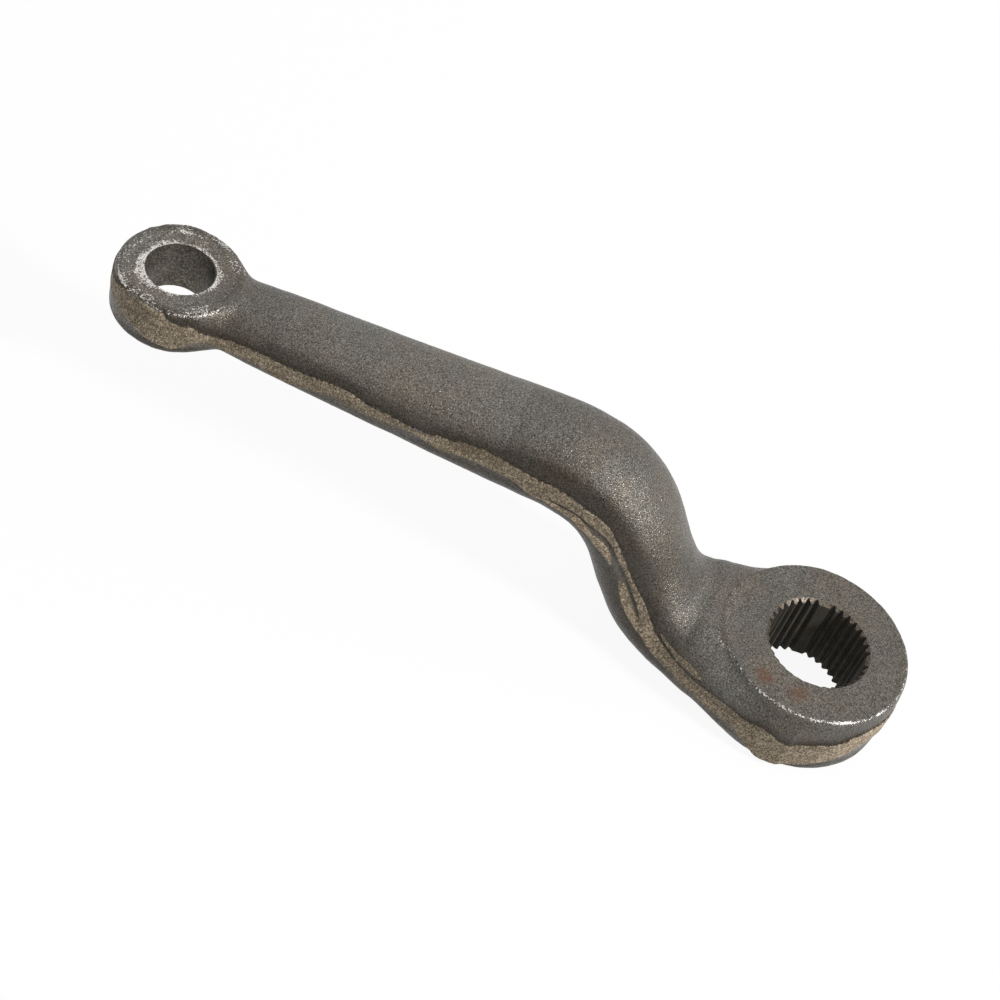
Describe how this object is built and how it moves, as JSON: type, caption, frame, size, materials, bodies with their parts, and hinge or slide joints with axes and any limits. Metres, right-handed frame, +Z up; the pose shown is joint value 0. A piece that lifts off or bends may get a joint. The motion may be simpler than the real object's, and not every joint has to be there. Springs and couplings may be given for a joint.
{
  "type": "pitman arm",
  "caption": "Forged steel pitman arm with a serrated sector-shaft eye, a cranked shank and a tapered ball-stud eye set higher.",
  "frame": {"origin": "centre of the serrated bore, in the lower face of the shaft eye", "axes": "+Z up the serrated bore and the tapered bore, +X from the shaft eye towards the stud eye, +Y to the arm's side"},
  "size_m": [0.2587, 0.0588, 0.0677],
  "materials": {
    "forged_steel": "shot-blasted forging scale, dark grey-brown, with a tan ground flash line"
  },
  "bodies": {
    "root": {"pitman_arm": "forged_steel"}
  },
  "joints": []
}
